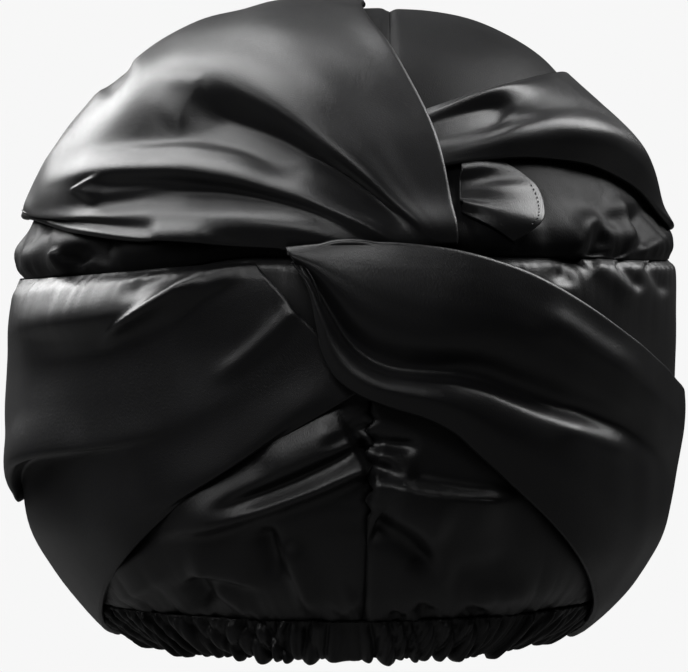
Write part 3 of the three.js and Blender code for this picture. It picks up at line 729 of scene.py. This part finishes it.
def satin(name, dark, light, smooth, matt, gloss, sheen, relief=0.45):
    """Black satin: its two tones, its roughness where smooth and where rubbed, and its thread relief."""
    material = bpy.data.materials.new(name)
    material.use_nodes = True
    tree = material.node_tree
    surface = tree.nodes["Principled BSDF"]
    place = node(tree, "ShaderNodeTexCoord")
    threads = node(tree, "ShaderNodeGroup", node_tree=WEAVE)
    tree.links.new(place.outputs["UV"], threads.inputs["Cloth Position"])
    handled = node(tree, "ShaderNodeGroup", node_tree=WEAR)
    tree.links.new(place.outputs["Object"], handled.inputs["Position"])
    colour = node(tree, "ShaderNodeMix", data_type="RGBA")
    colour.inputs["A"].default_value = (*dark, 1)
    colour.inputs["B"].default_value = (*light, 1)
    tint = scalar(tree, "MULTIPLY_ADD", handled.outputs["Rubbed"], 0.5, threads.outputs["Thread Tone"])
    tree.links.new(scalar(tree, "MULTIPLY", tint, 0.6), colour.inputs[0])
    tree.links.new(colour.outputs["Result"], surface.inputs["Base Color"])
    rough = node(tree, "ShaderNodeMapRange")
    rough.inputs["To Min"].default_value = smooth
    rough.inputs["To Max"].default_value = matt
    tree.links.new(tint, rough.inputs["Value"])
    tree.links.new(rough.outputs[0], surface.inputs["Roughness"])
    bump = node(tree, "ShaderNodeBump")
    bump.inputs["Strength"].default_value = relief
    bump.inputs["Distance"].default_value = 0.0002
    tree.links.new(threads.outputs["Thread Height"], bump.inputs["Height"])
    tree.links.new(bump.outputs[0], surface.inputs["Normal"])
    surface.inputs["Specular IOR Level"].default_value = gloss
    surface.inputs["Sheen Weight"].default_value = sheen
    surface.inputs["Sheen Roughness"].default_value = 0.45
    return material


# ------------------------------------------------------------------ camera, light and floor, in metres
CAMERA_DISTANCE = 2.2
CAMERA_TILT = 3  # degrees that it looks down
AIM = (0, 0, 0.1182)
VIEW_WIDTH = 0.2699  # the width that the camera takes in at the cap
SENSOR = 36  # millimetres
FLOOR_HEIGHT = -0.3  # below the cap, which is held up
FLOOR_REACH = 6
PALE = (0.93, 0.93, 0.93, 1)
DIM = (0.012, 0.012, 0.012, 1)
GREY = (0.06, 0.06, 0.06, 1)
Softbox = namedtuple("Softbox", "name place target wide tall power")
SOFTBOXES = [
    Softbox("overhead_softbox", (-0.5, 0.25, 1.1), (0, 0, 0.15), 1.0, 1.3, 24),
    Softbox("front_softbox", (-0.2, -1.15, 1.05), (0, 0, 0.1), 1.0, 0.35, 6),
    Softbox("rear_left_softbox", (-1.0, 1.05, 0.78), (0, 0, 0.17), 0.8, 0.6, 12),
    Softbox("left_softbox", (-1.2, -0.5, 0.75), (0, 0, 0.15), 0.5, 0.5, 2),
    Softbox("right_softbox", (0.95, 0.42, 0.98), (0, 0, 0.17), 0.7, 0.7, 14),
]


def point_at(thing, target):
    thing.rotation_euler = (Vector(target) - thing.location).to_track_quat("-Z", "Y").to_euler()


def seen_or_lit(tree, lit, seen):
    """Mixes one shader for what the camera sees directly with another for all other light."""
    path = node(tree, "ShaderNodeLightPath")
    either = node(tree, "ShaderNodeMixShader")
    tree.links.new(path.outputs["Is Camera Ray"], either.inputs[0])
    tree.links.new(lit.outputs[0], either.inputs[1])
    tree.links.new(seen.outputs[0], either.inputs[2])
    return either.outputs[0]


def add_camera(scene):
    lens = bpy.data.cameras.new("studio_camera")
    lens.sensor_width = SENSOR
    lens.lens = SENSOR * CAMERA_DISTANCE / VIEW_WIDTH
    camera = bpy.data.objects.new("studio_camera", lens)
    tilt = math.radians(CAMERA_TILT)
    camera.location = (0, -CAMERA_DISTANCE * math.cos(tilt), AIM[2] + CAMERA_DISTANCE * math.sin(tilt))
    point_at(camera, AIM)
    scene.collection.objects.link(camera)
    scene.camera = camera
    scene.view_settings.view_transform = "Standard"


def add_softboxes(scene):
    for softbox in SOFTBOXES:
        light = bpy.data.lights.new(softbox.name, "AREA")
        light.shape = "RECTANGLE"
        light.size, light.size_y, light.energy = softbox.wide, softbox.tall, softbox.power
        lamp = bpy.data.objects.new(softbox.name, light)
        lamp.location = softbox.place
        lamp.visible_camera = False
        point_at(lamp, softbox.target)
        scene.collection.objects.link(lamp)


def add_backdrop(scene):
    """The room looks pale, but the satin mirrors and is lit by a dim one."""
    world = bpy.data.worlds.new("pale_studio")
    scene.world = world
    world.use_nodes = True
    tree = world.node_tree
    tree.nodes.clear()
    dim = node(tree, "ShaderNodeBackground")
    dim.inputs[0].default_value = DIM
    pale = node(tree, "ShaderNodeBackground")
    pale.inputs[0].default_value = PALE
    room = seen_or_lit(tree, dim, pale)
    tree.links.new(room, node(tree, "ShaderNodeOutputWorld").inputs[0])


def add_floor(scene):
    """A floor that looks as pale as the backdrop, but is grey to all light."""
    paper = bpy.data.materials.new("pale_paper")
    paper.use_nodes = True
    tree = paper.node_tree
    grey = tree.nodes["Principled BSDF"]
    grey.inputs["Base Color"].default_value = GREY
    grey.inputs["Roughness"].default_value = 0.9
    glow = node(tree, "ShaderNodeEmission")
    glow.inputs[0].default_value = PALE
    surface = seen_or_lit(tree, grey, glow)
    tree.links.new(surface, tree.nodes["Material Output"].inputs[0])
    mesh = bpy.data.meshes.new("studio_floor")
    corners = [(-1, -1), (1, -1), (1, 1), (-1, 1)]
    corners = [(x * FLOOR_REACH, y * FLOOR_REACH, FLOOR_HEIGHT) for x, y in corners]
    mesh.from_pydata(corners, [], [(0, 1, 2, 3)])
    mesh.materials.append(paper)
    floor = bpy.data.objects.new("studio_floor", mesh)
    scene.collection.objects.link(floor)


studio = bpy.context.scene
add_camera(studio)
add_softboxes(studio)
add_backdrop(studio)
add_floor(studio)
WEAVE = satin_weave_group()
WEAR = wear_group()
DULL = (0.004, 0.004, 0.0044)
BLACK = (0.006, 0.006, 0.0065)
RUBBED = (0.012, 0.012, 0.013)
CHARCOAL = (0.03, 0.03, 0.032)
# The crown's satin is a darker, far less glossy copy of the wraps' cloth. This is painted shade: it keeps the
# crown top dark under the overhead softbox. Its two tones still differ at random, as on the other pieces.
CROWN_SATIN = satin("crown_satin", DULL, BLACK, smooth=0.4, matt=0.5, gloss=0.1, sheen=0.02)
WRAP_SATIN = satin("wrap_satin", BLACK, RUBBED, smooth=0.26, matt=0.36, gloss=0.5, sheen=0.03)
PANEL_SATIN = satin("panel_satin", DULL, BLACK, smooth=0.34, matt=0.42, gloss=0.6, sheen=0.03)
CASING_SATIN = satin("casing_satin", BLACK, RUBBED, smooth=0.36, matt=0.44, gloss=0.45, sheen=0.03)
THREAD = satin("black_thread", RUBBED, CHARCOAL, smooth=0.4, matt=0.5, gloss=0.4, sheen=0.1, relief=0.2)


# ------------------------------------------------------------------ stitches
def stitch_tree():
    """Short threads laid end to end along a line, with a gap between them."""
    tree = bpy.data.node_groups.new("row_of_stitches", "GeometryNodeTree")
    tree.interface.new_socket("Line", in_out="INPUT", socket_type="NodeSocketGeometry")
    for label, size in [("Stitch Length", 0.0018), ("Stitch Gap", 0.0008), ("Thread Thickness", 0.0004)]:
        tree.interface.new_socket(label, in_out="INPUT", socket_type="NodeSocketFloat").default_value = size
    tree.interface.new_socket("Thread", in_out="INPUT", socket_type="NodeSocketMaterial")
    tree.interface.new_socket("Stitches", in_out="OUTPUT", socket_type="NodeSocketGeometry")
    start, end = tree.nodes.new("NodeGroupInput"), tree.nodes.new("NodeGroupOutput")
    link = tree.links.new
    line = node(tree, "GeometryNodeMeshToCurve")
    link(start.outputs["Line"], line.inputs["Mesh"])
    spaced = node(tree, "GeometryNodeResampleCurve", mode="LENGTH")
    link(line.outputs[0], spaced.inputs["Curve"])
    pitch = scalar(tree, "ADD", start.outputs["Stitch Length"], start.outputs["Stitch Gap"])
    link(pitch, spaced.inputs["Length"])
    thread = node(tree, "GeometryNodeMeshIcoSphere")
    thread.inputs["Radius"].default_value = 0.5
    thread.inputs["Subdivisions"].default_value = 1
    shape = node(tree, "ShaderNodeCombineXYZ")
    link(start.outputs["Stitch Length"], shape.inputs["X"])
    link(start.outputs["Thread Thickness"], shape.inputs["Y"])
    link(start.outputs["Thread Thickness"], shape.inputs["Z"])
    turned = node(tree, "FunctionNodeAlignRotationToVector", axis="X")
    link(node(tree, "GeometryNodeInputTangent").outputs[0], turned.inputs["Vector"])
    laid = node(tree, "GeometryNodeInstanceOnPoints")
    link(spaced.outputs[0], laid.inputs["Points"])
    link(thread.outputs["Mesh"], laid.inputs["Instance"])
    link(turned.outputs[0], laid.inputs["Rotation"])
    link(shape.outputs[0], laid.inputs["Scale"])
    real = node(tree, "GeometryNodeRealizeInstances")
    link(laid.outputs[0], real.inputs[0])
    dyed = node(tree, "GeometryNodeSetMaterial")
    link(real.outputs[0], dyed.inputs["Geometry"])
    link(start.outputs["Thread"], dyed.inputs["Material"])
    link(dyed.outputs[0], end.inputs[0])
    return tree


def row_of_stitches(name, points, length, gap, thickness):
    """Stitches along points in millimetres, as a plain mesh."""
    line = bpy.data.meshes.new(name + "_line")
    edges = [(k, k + 1) for k in range(len(points) - 1)]
    line.from_pydata([tuple(point * MM) for point in points], edges, [])
    sewn = bpy.data.objects.new(name, line)
    bpy.context.scene.collection.objects.link(sewn)
    rule = sewn.modifiers.new("stitches", "NODES")
    rule.node_group = STITCHES
    sockets = {item.name: item.identifier for item in STITCHES.interface.items_tree if item.in_out == "INPUT"}
    rule[sockets["Stitch Length"]] = length * MM
    rule[sockets["Stitch Gap"]] = gap * MM
    rule[sockets["Thread Thickness"]] = thickness * MM
    rule[sockets["Thread"]] = THREAD
    graph = bpy.context.evaluated_depsgraph_get()
    made = bpy.data.meshes.new_from_object(sewn.evaluated_get(graph), depsgraph=graph)
    sewn.modifiers.remove(rule)
    sewn.data = made
    made.shade_smooth()
    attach(sewn, "root")
    return sewn


STITCHES = stitch_tree()


# ------------------------------------------------------------------ the pieces
def finish_sheet(cloth, part, flat):
    """Hangs a cloth on the root and hides the part of the cap that it stands for. Its flat size, the size it
    was cut to in metres, is not used.
    """
    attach(cloth, "root")
    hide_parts(part)


def crown_half(start, stop, seed):
    """Half of the crown, from the gathered seam up to the pole."""
    rows, columns = 96, 180
    azimuth = np.linspace(start, stop, columns)
    angle = np.radians(azimuth)
    ray = np.stack([np.sin(angle), -np.cos(angle)], axis=-1)
    z = np.full(columns, SEAM_ABOUT)
    pole = np.array(CROWN_POLE)
    # Where each ray from the pole meets the seam: it crosses a level section, whose height is then put right.
    for _ in range(6):
        wide, deep, right, back = section(z)
        origin = np.stack([(pole[0] - right) / wide, (pole[1] - back) / deep], axis=-1)
        step = np.stack([ray[:, 0] / wide, ray[:, 1] / deep], axis=-1)
        a, b, c = (step * step).sum(-1), 2 * (origin * step).sum(-1), (origin * origin).sum(-1) - 1
        far = (-b + np.sqrt(b * b - 4 * a * c)) / (2 * a)
        z = seam_height(turn_of(pole + ray * far[:, None])) + SEAM_GAP
    centre = np.array([*CROWN_POLE, RAY_CENTRE[2]])
    low = np.arctan2(z - centre[2], far)
    share = np.linspace(0, 1, rows) ** 1.2
    climb = low + (math.pi / 2 - low) * share[:, None]
    climb[-1] = math.pi / 2 - 1e-4  # at the pole, but not quite, so that the rays still differ
    rays = np.stack([np.cos(climb) * ray[:, 0], np.cos(climb) * ray[:, 1], np.sin(climb)], axis=-1)
    grid = body_along(rays, centre)
    normal = grid_normals(grid)
    normal[-1] = (0, 0, 1)
    above = grid[..., 2] - seam_height(turn_of(grid))
    along = turn_of(grid) * SEAM_ARC
    lift = seam_relief(grid)
    lift += gathers(along, above, seed, 6.5, 1.5, 10, 0.3) * ease(0, 3, above) * ease(60, 25, above)
    lift += ripples(grid, seed + 5, 0.9, 34, 16) * bell(above - 10, 9)
    lift += ripples(grid, seed + 3, 0.3, 80, 30) * ease(0, 12, above)
    side = np.abs(grid[..., 0] - CROWN_POLE[0])
    lift -= UPRIGHT_SEAM_SINK * bell(side, 2.0) * ease(5, 20, above)
    lift += pressed(grid, CROWN_CREASES, on_crown) * ease(40, 25, above)
    grid = grid + normal * lift[..., None]
    return turned_in(grid, normal, ["first_row", "last_column", "first_column"])


def zigzag(z):
    """How far the ruched front seam swings aside, in degrees."""
    place = (z - RUCHED_FROM) / RUCHED_STEP
    swing = 2 * np.abs(2 * (place - np.floor(place + 0.5))) - 1
    return RUCHED_SWING * swing * ease(RUCHED_FROM, RUCHED_FROM + 6, z) * ease(RUCHED_TO, RUCHED_TO - 6, z)


def lower_panel(start, stop, columns, creases, seed):
    """A panel of the lower body, from the casing to the seam."""
    rows = 120
    share = np.linspace(0, 1, rows)
    turn = np.linspace(start, stop, columns)[None, :].repeat(rows, axis=0)
    around = np.where(turn > 180, turn - 360, turn)
    z = PANEL_FOOT + (seam_height(around) - SEAM_GAP - PANEL_FOOT) * share[:, None]
    from_front_seam = np.abs(around - FRONT_SEAM_TURN) * FRONT_ARC
    around = around + zigzag(z) * np.exp(-from_front_seam / 9)
    grid = body_point(around, z)
    normal = outward(grid)
    along = turn * PANEL_ARC
    below, up = seam_height(around) - z, z - PANEL_FOOT
    lift = -SEAM_SINK * bell(below, 2.5) + pressed(grid, creases, on_panel)
    lift += gathers(along, below, seed, 6, 1.1, 9) * ease(0, 3, below) * ease(60, 25, below)
    lift += gathers(along, up, seed + 10, 6.5, 1.7, 8, 0.25) * ease(60, 25, up) * ease(0, 3, up)
    lift -= FOOT_SINK * bell(up, 2.4)
    lift += ripples(grid, seed + 2, 0.5, 60, 25)
    if FRONT_SEAM_TURN in (start, stop):
        ruched = ease(RUCHED_FROM - 8, RUCHED_FROM + 4, z) * ease(RUCHED_TO + 8, RUCHED_TO - 4, z)
        lift += gathers(z, from_front_seam, seed + 20, 5.5, 1.3, 6) * ruched
    for seam in (start, stop):
        lift -= UPRIGHT_SEAM_SINK * bell((turn - seam) * PANEL_ARC, 1.4)
    grid = grid + normal * lift[..., None]
    return turned_in(grid, normal, ["first_row", "last_row", "first_column", "last_column"], downwards=0.8)


def casing_ring():
    """The gathered tunnel round the opening, flat in the middle of the front."""
    rows, columns = 40, 1100
    turn = np.linspace(-180, 180, columns, endpoint=False)
    # From its upper edge down its outer face, under its foot and up inside: shares of its depth and height.
    profile = [
        (0.3, 0.97), (0.6, 1.0), (0.88, 0.97), (0.96, 0.89), (1.0, 0.8), (1.06, 0.65), (1.08, 0.45),
        (1.04, 0.28), (0.94, 0.14), (0.8, 0.04), (0.6, 0.0), (0.4, 0.0), (0.22, 0.05), (0.1, 0.14),
        (0.02, 0.28), (0.0, 0.45), (0.0, 0.62), (0.04, 0.8), (0.12, 0.9), (0.3, 0.97),
    ]
    profile = curve_through(profile, np.linspace(0, 1, rows))
    around = 2 * math.pi * CASING_RADIUS
    along = turn / 360 * around
    calm = 1 - 0.92 * bell(turn - FLAT_STRETCH_TURN, FLAT_STRETCH_REACH)
    lean = CASING_LEAN * ease(30, -20, turn) + 2.5 * np.sin(np.radians(turn * 9))
    lean += 1.5 * np.sin(np.radians(turn * 23))
    grid = np.zeros((rows, columns, 3))
    for row, (out, up) in enumerate(profile):
        wide = puffs(along + lean * (up - 0.5), 5, 12.0, around) - 0.5
        slanted = puffs(along + 11 * (up - 0.5) * np.sin(along / 23), 6, 7.0, around) - 0.5
        fine = puffs(along - 0.6 * lean * (up - 0.5), 7, 3.6, around) - 0.5
        puff = (0.6 * wide + 0.7 * slanted + 0.25 * fine + 0.1) * calm
        swell = ease(0.3, 0.75, out) * (0.4 + 0.6 * ease(1.0, 0.75, up))
        point = body_point(turn, np.full(columns, np.clip(up, 0, 1) * CASING_HEIGHT))
        flat = point * (1, 1, 0)
        flat /= np.linalg.norm(flat, axis=-1, keepdims=True)
        point = point + flat * ((out - 1) * CASING_DEPTH + CASING_PUFF * swell * puff)[:, None]
        point[:, 2] += 0.6 - CASING_DROP * (0.7 * wide + 0.7 * slanted) * calm * ease(0.35, 0.0, up)
        grid[row] = point
    return grid


Half = namedtuple("Half", "part start stop seed flat rests_on")
HALVES = [
    Half("crown_left", -180, 0, 11, (0.36, 0.175), "front_panel_left_cloth"),
    Half("crown_right", 0, 180, 12, (0.30, 0.165), "front_panel_right_cloth"),
]
for half in HALVES:
    grid = crown_half(half.start, half.stop, half.seed)
    cloth = cloth_from_grid(half.part + "_cloth", grid, CROWN_SATIN)
    finish_sheet(cloth, half.part, half.flat)

Panel = namedtuple("Panel", "part start stop columns creases seed flat")
REAR_STOP = 360 - SIDE_SEAM_TURN
PANELS = [
    Panel("front_panel_left", -SIDE_SEAM_TURN, FRONT_SEAM_TURN, 210, PANEL_LEFT_CREASES, 21, (0.26, 0.15)),
    Panel("front_panel_right", FRONT_SEAM_TURN, SIDE_SEAM_TURN, 195, PANEL_RIGHT_CREASES, 22, (0.25, 0.145)),
    Panel("back_panel", SIDE_SEAM_TURN, REAR_STOP, 190, [], 23, (0.4, 0.145)),
]
for panel in PANELS:
    grid = lower_panel(panel.start, panel.stop, panel.columns, panel.creases, panel.seed)
    cloth = cloth_from_grid(panel.part + "_cloth", grid, PANEL_SATIN)
    finish_sheet(cloth, panel.part, panel.flat)

ring = casing_ring()
casing = cloth_from_grid(
    "elastic_casing_cloth", ring[::-1], CASING_SATIN, closed_ring=True, thickness=CASING_CLOTH
)
sewn_line = ring[CASING_STITCH_ROW]
away = sewn_line * (1, 1, 0)
away /= np.linalg.norm(away, axis=-1, keepdims=True)
sewn_line = sewn_line + away * CASING_STITCH_RISE
casing_stitches = row_of_stitches(
    "casing_stitches", sewn_line, length=2.0, gap=0.9, thickness=0.5
)
finish_sheet(
    casing, "elastic_casing", (0.85, 0.045)
)

Wrap = namedtuple("Wrap", "part mouth folds creases along across seed radius flat into_seam")
WRAPS = [
    Wrap(
        "upper_wrap_left", UPPER_LEFT_MOUTH, UPPER_LEFT_FOLDS, UPPER_LEFT_CREASES,
        along=185, across=9, seed=31, radius=(1.7, 1.5), flat=(0.26, 0.17), into_seam=False,
    ),
    Wrap(
        "upper_wrap_right", UPPER_RIGHT_MOUTH, UPPER_RIGHT_FOLDS, UPPER_RIGHT_CREASES,
        along=130, across=11, seed=32, radius=(1.6, 1.7), flat=(0.16, 0.07), into_seam=False,
    ),
    Wrap(
        "lower_wrap_left", LOWER_LEFT_MOUTH, LOWER_LEFT_FOLDS, LOWER_LEFT_CREASES,
        along=170, across=9, seed=33, radius=(0.8, 1.3), flat=(0.2, 0.18), into_seam=True,
    ),
    Wrap(
        "lower_wrap_right", LOWER_RIGHT_MOUTH, LOWER_RIGHT_FOLDS, LOWER_RIGHT_CREASES,
        along=180, across=10, seed=34, radius=(1.8, 1.7), flat=(0.22, 0.14), into_seam=False,
    ),
    Wrap(
        "knot_tuck", None, TUCK_FOLDS, [],
        along=50, across=14, seed=35, radius=(0.7, 0.7), flat=(0.035, 0.035), into_seam=False,
    ),
]
for wrap in WRAPS:
    grid = sheet_along_folds(wrap)
    stitches = []
    if wrap.part == "knot_tuck":
        rim = grid[TUCK_STITCH_ROWS, TUCK_STITCH_COLUMN]
        rim = rim + outward(rim) * TUCK_STITCH_RISE
        stitches = [
            row_of_stitches("tuck_stitches", rim, length=1.2, gap=0.7, thickness=0.4)
        ]
    cloth = cloth_from_grid(wrap.part + "_cloth", grid, WRAP_SATIN)
    finish_sheet(
        cloth, wrap.part, wrap.flat
    )
